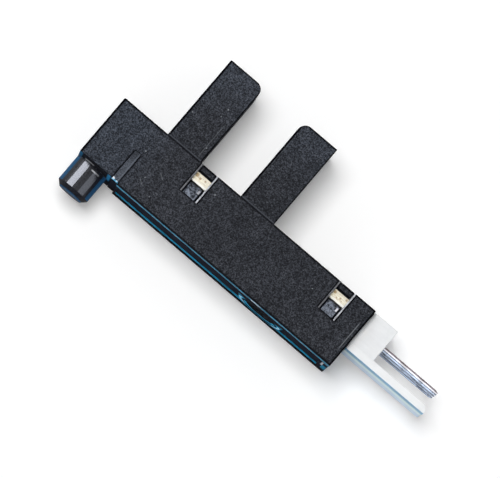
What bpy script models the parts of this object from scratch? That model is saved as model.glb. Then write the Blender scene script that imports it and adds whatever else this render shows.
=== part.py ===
"""Slotted optical switch: a black two-armed case fixed by one screw and a locating boss,
with a snap-in base cover, a circuit board, an emitter and a detector facing each other
across the slot, and a white connector with three pins.

Sizes are in millimetres in the case's own axes. x runs from the case's plain end towards
the connector, y from the case's shoulder towards the arms' tips, and z up from the side
face that the switch lies on. The empty "placement" carries every piece to the middle of
the finished part's footprint.
"""

import math

import bmesh
import bpy

MM = 0.001
WELD = 0.0000001
ROUND_STEPS = 48
SMALL_ROUND_STEPS = 20
CORNER_STEPS = 6
ROUNDING_STEPS = 3
UPRIGHT = (-90.0, 0.0, 0.0)

# Case body
CASE_HEIGHT = 7.0
CASE_DEPTH = 8.5
SIDE_WALL = 0.6
END_WALL = 0.8
CEILING = 0.75
CASE_EDGE = 0.12
BOSS_FLOOR_RELIEF = 0.25

# Gaps along the case, from its plain end to the connector
BOSS_FROM_END = 0.05
TONGUE_FROM_BOSS = 0.35
ARM_FROM_TONGUE = 0.6
WINDOW_FROM_ARM = 0.15
TUBE_FROM_ARM = 1.65
WINDOW_FROM_TUBE = 1.1
WINDOW_TO_END = 2.5

# Arms
SLOT_WIDTH = 5.0
ARM_WIDTH = 4.2
ARM_HEIGHT = 9.5
ARM_SETBACK = 0.2
ARM_WALL = 0.75
ARM_TIP_WALL = 0.8
ARM_CORNER = 0.9
ARM_EDGE = 0.1

# Light path
SLIT_HEIGHT = 2.0
EMITTER_SLIT_WIDTH = 1.5
DETECTOR_SLIT_WIDTH = 0.5

# Screw tube and locating boss
SCREW_BORE = 3.2
SCREW_TUBE_CHAMFER = 0.2
BESIDE_TUBE = 0.7
BOSS_DIAMETER = 3.6
BOSS_LENGTH = 3.4
BOSS_CHAMFER = 0.5

# Snap windows
WINDOW_WIDTH = 2.05
WINDOW_FOOT = 3.35
WINDOW_ROUNDING = 0.15
WINDOW_LUG_WIDTH = 1.6
WINDOW_LUG_RECESS = 0.3

# Base cover
COVER_THICKNESS = 1.0
PANEL_RECESS = 0.15
PANEL_SIDE_BORDER = 1.5
PANEL_END_BORDER = 0.2
TONGUE_THICKNESS = 0.7
TONGUE_TOP = 3.2
TONGUE_FOOT_RECESS = 0.2
TONGUE_SIDE_RECESS = 0.15
HOOK_WIDTH = 1.35
HOOK_THICKNESS = 0.7
HOOK_REACH = 0.5
HOOK_NOSE = 0.6
HOOK_STEP = 0.12
HOOK_OFFSET = 0.33
HOOK_STEM_WIDTH = 2.3
HOOK_STEM_RECESS = 0.3
RIB_THICKNESS = 0.6
RIB_HEIGHT = 1.1
RIB_SPACING = 3.6
RIB_FROM_WINDOW = 1.75

# Circuit board and its small parts
BOARD_THICKNESS = 1.0
LEAD_HOLE = 0.8
CHIP_LENGTH = 1.6
CHIP_WIDTH = 0.8
RESISTOR_HEIGHT = 0.45
CAPACITOR_HEIGHT = 0.8
CHIP_CAP_LENGTH = 0.3
CHIP_CAP_PROUD = 0.03
CHIP_GAP_TO_ARM_LEADS = 2.2
CHIP_SPACING = 2.8

# Emitter and detector packages
PACKAGE_WIDTH = 4.4
PACKAGE_ABOVE_AXIS = 1.8
PACKAGE_BELOW_AXIS = 3.6
PACKAGE_EDGE = 0.2
LENS_RADIUS = 1.25
LENS_RISE = 0.75
LEAD_WIDTH = 0.5
LEAD_THICKNESS = 0.4
LEAD_BELOW_BOARD = 0.6
LEAD_EMBEDDED = 1.2
EMITTER_LEAD_COUNT = 2
EMITTER_LEAD_PITCH = 2.54
DETECTOR_LEAD_COUNT = 3
DETECTOR_LEAD_PITCH = 1.27

# Connector
HOUSING_LENGTH = 2.9
HOUSING_HEIGHT = 4.5
HOUSING_WIDTH = 6.0
HOUSING_EDGE = 0.1
HOUSING_NECK_HEIGHT = 3.1
LOCK_WALL_THICKNESS = 0.85
LOCK_WALL_REACH = 6.95
LOCK_LEAD_HEIGHT = 0.5
LOCK_LEAD_LENGTH = 0.4
PIN_SIZE = 0.5
PIN_PITCH = 2.0
PIN_REACH = 6.75
PIN_ON_BOARD = 2.3
PIN_TAPER_LENGTH = 0.35
PIN_TIP_SIZE = 0.28
PIN_SOCKET_SIZE = 0.8
PIN_SOCKET_DEPTH = 0.2

# Clearances
SNUG = 0.02
FIT = 0.05
LOOSE = 0.1
THROUGH = 1.0

# Places that follow from the sizes above
MID_DEPTH = CASE_DEPTH / 2
ROOM_LOW = SIDE_WALL
ROOM_HIGH = CASE_DEPTH - SIDE_WALL
SCREW_TUBE = ROOM_HIGH - ROOM_LOW - 2 * (FIT + LOOSE + BESIDE_TUBE)
BOSS_X = BOSS_FROM_END + BOSS_DIAMETER / 2
BOSS_BLOCK_LENGTH = BOSS_FROM_END + BOSS_DIAMETER + TONGUE_FROM_BOSS
ROOM_START = BOSS_BLOCK_LENGTH + TONGUE_THICKNESS + 2 * FIT
SLOT_START = ROOM_START + ARM_FROM_TONGUE + ARM_WIDTH
SLOT_END = SLOT_START + SLOT_WIDTH
SCREW_X = SLOT_END + ARM_WIDTH + TUBE_FROM_ARM + SCREW_TUBE / 2
WINDOW_STARTS = {
    "left": SLOT_START + WINDOW_FROM_ARM,
    "right": SCREW_X + SCREW_TUBE / 2 + WINDOW_FROM_TUBE,
}
CASE_LENGTH = WINDOW_STARTS["right"] + WINDOW_WIDTH + WINDOW_TO_END
ROOM_END = CASE_LENGTH - END_WALL
BASE = -CASE_HEIGHT
BOSS_FLOOR = BASE + BOSS_FLOOR_RELIEF
ARM_SPANS = {
    "emitter": (SLOT_START - ARM_WIDTH, SLOT_START),
    "detector": (SLOT_END, SLOT_END + ARM_WIDTH),
}
SLOT_SIDE = {"emitter": 1, "detector": -1}
SLIT_WIDTHS = {"emitter": EMITTER_SLIT_WIDTH, "detector": DETECTOR_SLIT_WIDTH}
OPTICAL_AXIS_HEIGHT = ARM_HEIGHT - ARM_TIP_WALL - LOOSE - PACKAGE_ABOVE_AXIS
PACKAGE_THICKNESS = ARM_WIDTH - 2 * ARM_WALL - LENS_RISE - 3 * LOOSE
LEAD_COUNTS = {"emitter": EMITTER_LEAD_COUNT, "detector": DETECTOR_LEAD_COUNT}
LEAD_PITCHES = {"emitter": EMITTER_LEAD_PITCH, "detector": DETECTOR_LEAD_PITCH}
BOARD_TOP = -CEILING - FIT
BOARD_FOOT = BOARD_TOP - BOARD_THICKNESS
COVER_TOP = BASE + COVER_THICKNESS
COVER_LOW = ROOM_LOW + FIT
COVER_HIGH = ROOM_HIGH - FIT
HOOK_ROOT = COVER_TOP - COVER_THICKNESS / 2
HOOK_TOP = BOARD_FOOT - 2 * FIT - LOOSE / 2
HOUSING_START = CASE_LENGTH + FIT
HOUSING_END = HOUSING_START + HOUSING_LENGTH
HOUSING_LOW = MID_DEPTH - HOUSING_WIDTH / 2
HOUSING_HIGH = MID_DEPTH + HOUSING_WIDTH / 2
LOCK_WALL_TOP = LOCK_WALL_THICKNESS - HOUSING_HEIGHT
NECK_TOP = BOARD_TOP - FIT
NECK_FOOT = NECK_TOP - HOUSING_NECK_HEIGHT
PIN_LEVEL = BOARD_FOOT - FIT - PIN_SIZE / 2
PIN_DEPTHS = [MID_DEPTH + PIN_PITCH * step for step in (1, 0, -1)]
OVERALL_LENGTH = HOUSING_END + max(LOCK_WALL_REACH, PIN_REACH)
OVERALL_TOP = ARM_HEIGHT
OVERALL_FOOT = min(BOSS_FLOOR - BOSS_LENGTH, BASE)

BLACK_PLASTIC = ("black_plastic", (0.030, 0.031, 0.034), 0.55, 0.0)
COVER_PLASTIC = ("cover_plastic", (0.026, 0.027, 0.030), 0.50, 0.0)
BOARD_RESIN = ("board_resin", (0.62, 0.52, 0.33), 0.60, 0.0)
WHITE_NYLON = ("white_nylon", (0.82, 0.82, 0.80), 0.45, 0.0)
TINNED_METAL = ("tinned_metal", (0.72, 0.72, 0.74), 0.30, 1.0)
CLEAR_RESIN = ("clear_resin", (0.55, 0.56, 0.62), 0.12, 0.0)
DARK_RESIN = ("dark_resin", (0.05, 0.03, 0.05), 0.12, 0.0)
CHIP_CERAMIC = ("chip_ceramic", (0.10, 0.09, 0.09), 0.50, 0.0)
CAPACITOR_CERAMIC = ("capacitor_ceramic", (0.48, 0.34, 0.20), 0.50, 0.0)


def clear_scene():
    for obj in list(bpy.data.objects):
        bpy.data.objects.remove(obj, do_unlink=True)


def new_collection(name, parent, hidden=False):
    collection = bpy.data.collections.new(name)
    parent.children.link(collection)
    collection.hide_render = hidden
    return collection


def material(look):
    """The Principled BSDF material for one look, made the first time that it is asked for."""
    name, colour, roughness, metallic = look
    if name in bpy.data.materials:
        return bpy.data.materials[name]
    made = bpy.data.materials.new(name)
    made.use_nodes = True
    shader = made.node_tree.nodes["Principled BSDF"]
    shader.inputs["Base Color"].default_value = (*colour, 1.0)
    shader.inputs["Roughness"].default_value = roughness
    shader.inputs["Metallic"].default_value = metallic
    made.diffuse_color = (*colour, 1.0)
    return made


def metres(point):
    return [value * MM for value in point]


class Model:
    """Keeps the collections and the placement empty that every piece is made under."""

    def __init__(self):
        scene = bpy.context.scene.collection
        self.pieces = new_collection("slotted_optical_switch", scene)
        self.cutters = new_collection("cutters", scene, hidden=True)
        self.placement = bpy.data.objects.new("placement", None)
        self.placement.location = metres(
            (-OVERALL_LENGTH / 2, -(OVERALL_TOP + OVERALL_FOOT) / 2, 0.0)
        )
        self.pieces.objects.link(self.placement)

    def add(self, name, mesh, centre, turn=(0.0, 0.0, 0.0)):
        """Places a mesh under the placement empty, turned by angles in degrees."""
        obj = bpy.data.objects.new(name, mesh)
        self.pieces.objects.link(obj)
        obj.parent = self.placement
        obj.location = metres(centre)
        obj.rotation_euler = [math.radians(angle) for angle in turn]
        return obj

    def finish(self, obj, look):
        obj.data.materials.clear()
        obj.data.materials.append(material(look))
        return obj

    def combine(self, target, operation, tools):
        """Unites the tools with the target or cuts them from it, and puts them among the cutters."""
        name = f"{target.name}_{operation.lower()}_{len(target.modifiers)}"
        group = new_collection(name, self.cutters)
        for tool in tools:
            self.pieces.objects.unlink(tool)
            group.objects.link(tool)
            tool.hide_render = True
            tool.display_type = "WIRE"
        modifier = target.modifiers.new(group.name, "BOOLEAN")
        modifier.operation = operation
        modifier.solver = "EXACT"
        modifier.operand_type = "COLLECTION"
        modifier.collection = group


def soften(obj, width, segments=2):
    """Rounds an object's edges. The width is in millimetres."""
    bevel = obj.modifiers.new("rounded_edges", "BEVEL")
    bevel.width = width * MM
    bevel.segments = segments
    bevel.limit_method = "ANGLE"
    bevel.angle_limit = math.radians(40)
    return obj


def block(model, name, low, high):
    """A box between two opposite corners."""
    shape = bmesh.new()
    bmesh.ops.create_cube(shape, size=1.0)
    size = [top - bottom for bottom, top in zip(low, high)]
    bmesh.ops.scale(shape, vec=metres(size), verts=shape.verts)
    mesh = bpy.data.meshes.new(name)
    shape.to_mesh(mesh)
    shape.free()
    return model.add(name, mesh, [(bottom + top) / 2 for bottom, top in zip(low, high)])


def turned(model, name, profile, centre, turn=UPRIGHT, steps=ROUND_STEPS):
    """A solid turned about a line, which is along y if it stands upright.

    The profile holds (radius, place along the line) points from the top down.
    """
    mesh = bpy.data.meshes.new(name)
    points = [(radius * MM, 0.0, height * MM) for radius, height in profile]
    mesh.from_pydata(points, [(i, i + 1) for i in range(len(points) - 1)], [])
    obj = model.add(name, mesh, centre, turn)
    screw = obj.modifiers.new("turn", "SCREW")
    screw.steps = steps
    screw.render_steps = steps
    screw.use_merge_vertices = True
    screw.merge_threshold = WELD
    return obj


def rod(model, name, diameter, top, foot, x, z, steps=ROUND_STEPS):
    """A plain round bar along y."""
    radius = diameter / 2
    profile = [(0, top), (radius, top), (radius, foot), (0, foot)]
    return turned(model, name, profile, (x, 0.0, z), steps=steps)


def extruded(model, name, outline, thickness, centre, turn=(0.0, 0.0, 0.0)):
    """A flat outline given a thickness, half to each side of its plane."""
    curve = bpy.data.curves.new(name, "CURVE")
    curve.dimensions = "2D"
    curve.fill_mode = "BOTH"
    curve.extrude = thickness / 2 * MM
    spline = curve.splines.new("POLY")
    spline.points.add(len(outline) - 1)
    for point, (across, up) in zip(spline.points, outline):
        point.co = (across * MM, up * MM, 0.0, 1.0)
    spline.use_cyclic_u = True
    guide = bpy.data.objects.new(name + "_outline", curve)
    bpy.context.scene.collection.objects.link(guide)
    bpy.context.view_layer.update()
    graph = bpy.context.evaluated_depsgraph_get()
    mesh = bpy.data.meshes.new_from_object(guide.evaluated_get(graph))
    mesh.name = name
    bpy.data.objects.remove(guide, do_unlink=True)
    shape = bmesh.new()
    shape.from_mesh(mesh)
    bmesh.ops.remove_doubles(shape, verts=shape.verts, dist=WELD)
    bmesh.ops.recalc_face_normals(shape, faces=shape.faces)
    shape.to_mesh(mesh)
    shape.free()
    return model.add(name, mesh, centre, turn)


def arc(centre, radius, start, end, steps):
    """Points along an arc, with its angles in degrees."""
    angles = [math.radians(start + (end - start) * step / steps) for step in range(steps + 1)]
    return [(centre[0] + radius * math.cos(a), centre[1] + radius * math.sin(a)) for a in angles]


def arm_outline(side):
    """One arm seen from the side, square outside and rounded at its slot corner."""
    low, high = ARM_SPANS[side]
    foot = -CEILING / 2
    if SLOT_SIDE[side] > 0:
        corner = arc((high - ARM_CORNER, ARM_HEIGHT - ARM_CORNER), ARM_CORNER, 0, 90, CORNER_STEPS)
        return [(low, foot), (high, foot), *corner, (low, ARM_HEIGHT)]
    corner = arc((low + ARM_CORNER, ARM_HEIGHT - ARM_CORNER), ARM_CORNER, 90, 180, CORNER_STEPS)
    return [(low, foot), (high, foot), (high, ARM_HEIGHT), *corner]


def boss_profile():
    """The locating boss from inside the case's floor down to its chamfered end."""
    radius = BOSS_DIAMETER / 2
    end = BOSS_FLOOR - BOSS_LENGTH
    root = BOSS_FLOOR + THROUGH / 2
    return [
        (0, root),
        (radius, root),
        (radius, end + BOSS_CHAMFER),
        (radius - BOSS_CHAMFER, end),
        (0, end),
    ]


def case_outline():
    """The case's body seen from the side, its floor raised a little at the boss's end."""
    step = BOSS_BLOCK_LENGTH + TONGUE_THICKNESS / 2
    return [
        (0, 0),
        (0, BOSS_FLOOR),
        (step, BOSS_FLOOR),
        (step, BASE),
        (CASE_LENGTH, BASE),
        (CASE_LENGTH, 0),
    ]


def screw_tube_profile():
    """The tube left standing in the main room, its foot's chamfer carried on below the case."""
    radius = SCREW_TUBE / 2
    return [
        (0, -CEILING / 2),
        (radius, -CEILING / 2),
        (radius, BASE + SCREW_TUBE_CHAMFER),
        (radius - SCREW_TUBE_CHAMFER - THROUGH, BASE - THROUGH),
        (0, BASE - THROUGH),
    ]


def arm_room(model, side):
    """The hollow of one arm, open at its foot to the case's main room."""
    low, high = ARM_SPANS[side]
    half = PACKAGE_WIDTH / 2 + LOOSE
    top = OPTICAL_AXIS_HEIGHT + PACKAGE_ABOVE_AXIS + LOOSE
    return block(
        model,
        f"{side}_arm_room",
        (low + ARM_WALL, -CEILING - THROUGH, MID_DEPTH - half),
        (high - ARM_WALL, top, MID_DEPTH + half),
    )


def light_slit(model, side):
    """The opening in one arm's slot wall that the light passes through."""
    low, high = ARM_SPANS[side]
    face = high if SLOT_SIDE[side] > 0 else low
    half = SLIT_WIDTHS[side] / 2
    return block(
        model,
        f"{side}_slit",
        (face - ARM_WALL - FIT, OPTICAL_AXIS_HEIGHT - SLIT_HEIGHT / 2, MID_DEPTH - half),
        (face + ARM_WALL + FIT, OPTICAL_AXIS_HEIGHT + SLIT_HEIGHT / 2, MID_DEPTH + half),
    )


def window_outline(start, near):
    """A snap window seen along its height, its two sides rounded over at the side face."""
    end = start + WINDOW_WIDTH
    edge = CASE_DEPTH - WINDOW_ROUNDING
    inner = ROOM_HIGH - FIT
    outer = CASE_DEPTH + THROUGH
    points = [
        (start + WINDOW_ROUNDING, inner),
        *arc((start, edge), WINDOW_ROUNDING, 0, 90, ROUNDING_STEPS),
        (start, outer),
        (end, outer),
        *arc((end, edge), WINDOW_ROUNDING, 90, 180, ROUNDING_STEPS),
        (end - WINDOW_ROUNDING, inner),
    ]
    return points if near else [(across, CASE_DEPTH - up) for across, up in points]


def window_cutter(model, name, start, near):
    """One snap window through a side wall, with the ceiling's lug left standing in its top."""
    window = extruded(
        model,
        name,
        window_outline(start, near),
        WINDOW_FOOT + THROUGH,
        (0, (THROUGH - WINDOW_FOOT) / 2, 0),
        turn=(90, 0, 0),
    )
    middle = start + WINDOW_WIDTH / 2
    half = WINDOW_LUG_WIDTH / 2
    depths = [ROOM_HIGH - THROUGH, CASE_DEPTH - WINDOW_LUG_RECESS]
    if not near:
        depths = [CASE_DEPTH - depth for depth in reversed(depths)]
    lug = block(
        model,
        name + "_lug",
        (middle - half, -CEILING, depths[0]),
        (middle + half, 2 * THROUGH, depths[1]),
    )
    model.combine(window, "DIFFERENCE", [lug])
    return window


def build_case(model):
    """The moulded case: a box open at its base, with two hollow arms, a screw tube and a boss."""
    case = extruded(model, "case", case_outline(), CASE_DEPTH, (0, 0, MID_DEPTH))
    soften(case, CASE_EDGE)
    arms = []
    for side in ARM_SPANS:
        arm = extruded(
            model,
            f"{side}_arm",
            arm_outline(side),
            CASE_DEPTH - 2 * ARM_SETBACK,
            (0, 0, MID_DEPTH),
        )
        arms.append(soften(arm, ARM_EDGE))
    boss = turned(model, "boss", boss_profile(), (BOSS_X, 0, MID_DEPTH))
    model.combine(case, "UNION", [*arms, boss])

    into_tongue_slot = TONGUE_THICKNESS / 4
    room = block(
        model,
        "main_room",
        (ROOM_START - into_tongue_slot, BASE - THROUGH / 2, ROOM_LOW),
        (ROOM_END, -CEILING, ROOM_HIGH),
    )
    tube = turned(model, "screw_tube", screw_tube_profile(), (SCREW_X, 0, MID_DEPTH))
    model.combine(room, "DIFFERENCE", [tube])
    bore = rod(model, "screw_bore", SCREW_BORE, THROUGH, BASE - THROUGH, SCREW_X, MID_DEPTH)
    tongue_slot = block(
        model,
        "tongue_slot",
        (BOSS_BLOCK_LENGTH, BASE - THROUGH, -THROUGH),
        (ROOM_START, -TONGUE_TOP + FIT, CASE_DEPTH + THROUGH),
    )
    connector_notch = block(
        model,
        "connector_notch",
        (ROOM_END - THROUGH, BASE - THROUGH, HOUSING_LOW - FIT),
        (CASE_LENGTH + THROUGH, NECK_TOP + FIT, HOUSING_HIGH + FIT),
    )
    hollows = [room, bore, tongue_slot, connector_notch]
    for side in ARM_SPANS:
        hollows += [arm_room(model, side), light_slit(model, side)]
    for side, start in WINDOW_STARTS.items():
        hollows.append(window_cutter(model, f"{side}_near_window", start, near=True))
        hollows.append(window_cutter(model, f"{side}_far_window", start, near=False))
    model.combine(case, "DIFFERENCE", hollows)
    return model.finish(case, BLACK_PLASTIC)


def hook_outline(near):
    """A snap hook seen along the case, with its nose pointing out through the side wall."""
    inner = COVER_HIGH - HOOK_THICKNESS
    reach = COVER_HIGH + HOOK_REACH
    catch = -WINDOW_FOOT + FIT
    points = [
        (inner, HOOK_ROOT),
        (COVER_HIGH, HOOK_ROOT),
        (COVER_HIGH, catch),
        (reach, catch),
        (reach, catch + HOOK_NOSE),
        (reach - HOOK_STEP, catch + HOOK_NOSE + HOOK_STEP / 2),
        (COVER_HIGH, HOOK_TOP),
        (inner, HOOK_TOP),
    ]
    return points if near else [(CASE_DEPTH - across, up) for across, up in points]


def build_hook(model, name, start, near):
    """One snap hook and the wider stem behind it, for the window that starts at the given x."""
    hook = extruded(
        model,
        name,
        hook_outline(near),
        HOOK_WIDTH,
        (start + HOOK_OFFSET + HOOK_WIDTH / 2, 0, 0),
        turn=(0, -90, 0),
    )
    depths = [COVER_HIGH - HOOK_THICKNESS - LOOSE, COVER_HIGH - HOOK_STEM_RECESS]
    if not near:
        depths = [CASE_DEPTH - depth for depth in reversed(depths)]
    middle = start + WINDOW_WIDTH / 2
    stem = block(
        model,
        name + "_stem",
        (middle - HOOK_STEM_WIDTH / 2, HOOK_ROOT, depths[0]),
        (middle + HOOK_STEM_WIDTH / 2, HOOK_TOP - LOOSE, depths[1]),
    )
    return [hook, stem]


def build_cover(model):
    """The base cover: a plate with an upturned end tongue, an end tab, ribs and four snap hooks."""
    plate_start = ROOM_START + FIT
    plate = block(
        model,
        "base_cover",
        (plate_start, BASE, COVER_LOW),
        (ROOM_END - FIT, COVER_TOP, COVER_HIGH),
    )
    tongue_foot = BASE + TONGUE_FOOT_RECESS
    tongue_start = BOSS_BLOCK_LENGTH + FIT
    tongue_end = tongue_start + TONGUE_THICKNESS
    tongue = block(
        model,
        "tongue",
        (tongue_start, tongue_foot, TONGUE_SIDE_RECESS),
        (tongue_end, -TONGUE_TOP, CASE_DEPTH - TONGUE_SIDE_RECESS),
    )
    web = block(
        model,
        "tongue_web",
        (tongue_end - TONGUE_THICKNESS / 2, tongue_foot, COVER_LOW),
        (plate_start + TONGUE_THICKNESS / 2, COVER_TOP, COVER_HIGH),
    )
    end_tab = block(
        model,
        "end_tab",
        (ROOM_END - END_WALL, BASE, HOUSING_LOW),
        (CASE_LENGTH - FIT, COVER_TOP, HOUSING_HIGH),
    )
    end_tab_rise = block(
        model,
        "end_tab_rise",
        (ROOM_END + FIT, BASE + COVER_THICKNESS / 2, HOUSING_LOW),
        (CASE_LENGTH - FIT, NECK_FOOT - FIT, HOUSING_HIGH),
    )
    joined = [tongue, web, end_tab, end_tab_rise]
    rib_start = WINDOW_STARTS["left"] + WINDOW_WIDTH + RIB_FROM_WINDOW
    rib_end = SCREW_X - SCREW_TUBE / 2 - LOOSE - RIB_THICKNESS
    for step in (-0.5, 0.5):
        middle = MID_DEPTH + step * RIB_SPACING
        joined.append(
            block(
                model,
                f"rib_at_{middle:.1f}",
                (rib_start, COVER_TOP - COVER_THICKNESS / 2, middle - RIB_THICKNESS / 2),
                (rib_end, COVER_TOP + RIB_HEIGHT, middle + RIB_THICKNESS / 2),
            )
        )
    for side, start in WINDOW_STARTS.items():
        joined += build_hook(model, f"{side}_near_hook", start, near=True)
        joined += build_hook(model, f"{side}_far_hook", start, near=False)
    model.combine(plate, "UNION", joined)
    opening = rod(
        model,
        "tube_opening",
        SCREW_TUBE + 2 * LOOSE,
        COVER_TOP + THROUGH,
        BASE - THROUGH,
        SCREW_X,
        MID_DEPTH,
    )
    panel = block(
        model,
        "panel_recess",
        (plate_start + PANEL_END_BORDER, BASE - THROUGH, COVER_LOW + PANEL_SIDE_BORDER),
        (ROOM_END - FIT - PANEL_END_BORDER, BASE + PANEL_RECESS, COVER_HIGH - PANEL_SIDE_BORDER),
    )
    model.combine(plate, "DIFFERENCE", [opening, panel])
    return model.finish(plate, COVER_PLASTIC)


def package_face(side):
    """The x of a package's front face, set so that its lens stops short of the slot wall."""
    low, high = ARM_SPANS[side]
    toward = SLOT_SIDE[side]
    wall = (high if toward > 0 else low) - toward * ARM_WALL
    return wall - toward * (LENS_RISE + LOOSE)


def lead_x(side):
    return package_face(side) - SLOT_SIDE[side] * PACKAGE_THICKNESS / 2


def lead_depths(side):
    count = LEAD_COUNTS[side]
    return [MID_DEPTH + LEAD_PITCHES[side] * (step - (count - 1) / 2) for step in range(count)]


def lead_block(model, name, side, depth, top, foot, clearance=0.0):
    half_x = LEAD_THICKNESS / 2 + clearance
    half_z = LEAD_WIDTH / 2 + clearance
    x = lead_x(side)
    return block(model, name, (x - half_x, foot, depth - half_z), (x + half_x, top, depth + half_z))


def lens_profile():
    """Half a ball, its tip standing proud of the package's face."""
    middle = LENS_RISE - LENS_RADIUS
    return [*arc((0, middle), LENS_RADIUS, 90, 0, CORNER_STEPS), (0, middle)]


def build_package(model, side, look):
    """A moulded light package with its lens facing the slot, and its leads down through the board."""
    toward = SLOT_SIDE[side]
    front = package_face(side)
    back = front - toward * PACKAGE_THICKNESS
    foot = OPTICAL_AXIS_HEIGHT - PACKAGE_BELOW_AXIS
    body = block(
        model,
        f"{side}_body",
        (min(front, back), foot, MID_DEPTH - PACKAGE_WIDTH / 2),
        (max(front, back), OPTICAL_AXIS_HEIGHT + PACKAGE_ABOVE_AXIS, MID_DEPTH + PACKAGE_WIDTH / 2),
    )
    soften(body, PACKAGE_EDGE)
    lens = turned(
        model,
        f"{side}_lens",
        lens_profile(),
        (front, OPTICAL_AXIS_HEIGHT, MID_DEPTH),
        turn=(0, 90 * toward, 0),
        steps=SMALL_ROUND_STEPS,
    )
    model.combine(body, "UNION", [lens])
    sockets = []
    top = foot + LEAD_EMBEDDED
    for number, depth in enumerate(lead_depths(side), 1):
        name = f"{side}_lead_{number}"
        lead = lead_block(model, name, side, depth, top, BOARD_FOOT - LEAD_BELOW_BOARD)
        model.finish(lead, TINNED_METAL)
        socket = lead_block(
            model, name + "_socket", side, depth, top + SNUG, foot - THROUGH, clearance=SNUG
        )
        sockets.append(socket)
    model.combine(body, "DIFFERENCE", sockets)
    return model.finish(body, look)


def build_board(model):
    """The circuit board, held against the ceiling, with its screw tube opening and lead holes."""
    board = block(
        model,
        "circuit_board",
        (ROOM_START + LOOSE, BOARD_FOOT, ROOM_LOW + FIT),
        (ROOM_END - 2 * LOOSE, BOARD_TOP, ROOM_HIGH - FIT),
    )
    top = BOARD_TOP + THROUGH
    foot = BOARD_FOOT - THROUGH
    openings = [
        rod(model, "board_tube_opening", SCREW_TUBE + 2 * LOOSE, top, foot, SCREW_X, MID_DEPTH)
    ]
    for side in ARM_SPANS:
        for number, depth in enumerate(lead_depths(side), 1):
            name = f"{side}_lead_hole_{number}"
            openings.append(
                rod(model, name, LEAD_HOLE, top, foot, lead_x(side), depth, SMALL_ROUND_STEPS)
            )
    model.combine(board, "DIFFERENCE", openings)
    return model.finish(board, BOARD_RESIN)


def build_chip(model, name, x, depth, height, look):
    """A chip part under the board: a ceramic body between two end caps."""
    top = BOARD_FOOT - SNUG
    foot = top - height
    half_length = CHIP_LENGTH / 2
    half_width = CHIP_WIDTH / 2
    body = block(
        model,
        name,
        (x - half_length, foot, depth - half_width),
        (x + half_length, top - CHIP_CAP_PROUD, depth + half_width),
    )
    caps = []
    for end in (-1, 1):
        outer = x + end * (half_length + CHIP_CAP_PROUD)
        inner = x + end * (half_length - CHIP_CAP_LENGTH)
        caps.append(
            block(
                model,
                f"{name}_cap_{'left' if end < 0 else 'right'}",
                (min(outer, inner), foot - CHIP_CAP_PROUD, depth - half_width - CHIP_CAP_PROUD),
                (max(outer, inner), top, depth + half_width + CHIP_CAP_PROUD),
            )
        )
    model.combine(body, "UNION", caps)
    return model.finish(body, look)


def build_chips(model):
    near_emitter = lead_x("emitter") + CHIP_GAP_TO_ARM_LEADS + CHIP_LENGTH / 2
    near_detector = lead_x("detector") - CHIP_GAP_TO_ARM_LEADS - CHIP_LENGTH / 2
    half = CHIP_SPACING / 2
    build_chip(model, "emitter_resistor", near_emitter, MID_DEPTH, RESISTOR_HEIGHT, CHIP_CERAMIC)
    build_chip(
        model, "output_resistor", near_detector, MID_DEPTH + half, RESISTOR_HEIGHT, CHIP_CERAMIC
    )
    build_chip(
        model,
        "supply_capacitor",
        near_detector,
        MID_DEPTH - half,
        CAPACITOR_HEIGHT,
        CAPACITOR_CERAMIC,
    )


def housing_outline():
    """The housing seen from the side: its square root and the locking wall with a sloped tip."""
    tip = HOUSING_END + LOCK_WALL_REACH
    return [
        (HOUSING_START, 0),
        (HOUSING_START, -HOUSING_HEIGHT),
        (tip, -HOUSING_HEIGHT),
        (tip, LOCK_WALL_TOP - LOCK_LEAD_HEIGHT),
        (tip - LOCK_LEAD_LENGTH, LOCK_WALL_TOP),
        (HOUSING_END, LOCK_WALL_TOP),
        (HOUSING_END, 0),
    ]


def pin_outline():
    """A pin seen from the side, square at the board and drawn in at its tip."""
    start = ROOM_END - 2 * LOOSE - PIN_ON_BOARD
    end = HOUSING_END + PIN_REACH
    half = PIN_SIZE / 2
    tip = PIN_TIP_SIZE / 2
    return [
        (start, -half),
        (end - PIN_TAPER_LENGTH, -half),
        (end, -tip),
        (end, tip),
        (end - PIN_TAPER_LENGTH, half),
        (start, half),
    ]


def build_connector(model):
    """The white housing with its neck through the case's end, and its three square pins."""
    housing = extruded(
        model, "connector_housing", housing_outline(), HOUSING_WIDTH, (0, 0, MID_DEPTH)
    )
    soften(housing, HOUSING_EDGE)
    neck = block(
        model,
        "housing_neck",
        (ROOM_END - LOOSE, NECK_FOOT, HOUSING_LOW),
        (HOUSING_START + HOUSING_LENGTH / 2, NECK_TOP, HOUSING_HIGH),
    )
    model.combine(housing, "UNION", [neck])
    holes = []
    socket = PIN_SOCKET_SIZE / 2
    half = PIN_SIZE / 2
    for number, depth in enumerate(PIN_DEPTHS, 1):
        pin = extruded(model, f"connector_pin_{number}", pin_outline(), PIN_SIZE, (0, PIN_LEVEL, depth))
        model.finish(pin, TINNED_METAL)
        holes.append(
            block(
                model,
                f"pin_hole_{number}",
                (ROOM_END - THROUGH, PIN_LEVEL - half - SNUG, depth - half - SNUG),
                (HOUSING_END + THROUGH, PIN_LEVEL + half + SNUG, depth + half + SNUG),
            )
        )
        holes.append(
            block(
                model,
                f"pin_socket_{number}",
                (HOUSING_END - PIN_SOCKET_DEPTH, PIN_LEVEL - socket, depth - socket),
                (HOUSING_END + THROUGH, PIN_LEVEL + socket, depth + socket),
            )
        )
    model.combine(housing, "DIFFERENCE", holes)
    return model.finish(housing, WHITE_NYLON)


def shade(model):
    """Shades round faces smooth and keeps the creases."""
    for obj in model.pieces.objects:
        if obj.type == "MESH":
            obj.data.shade_smooth()
            obj.data.set_sharp_from_angle(angle=math.radians(35))


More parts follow.
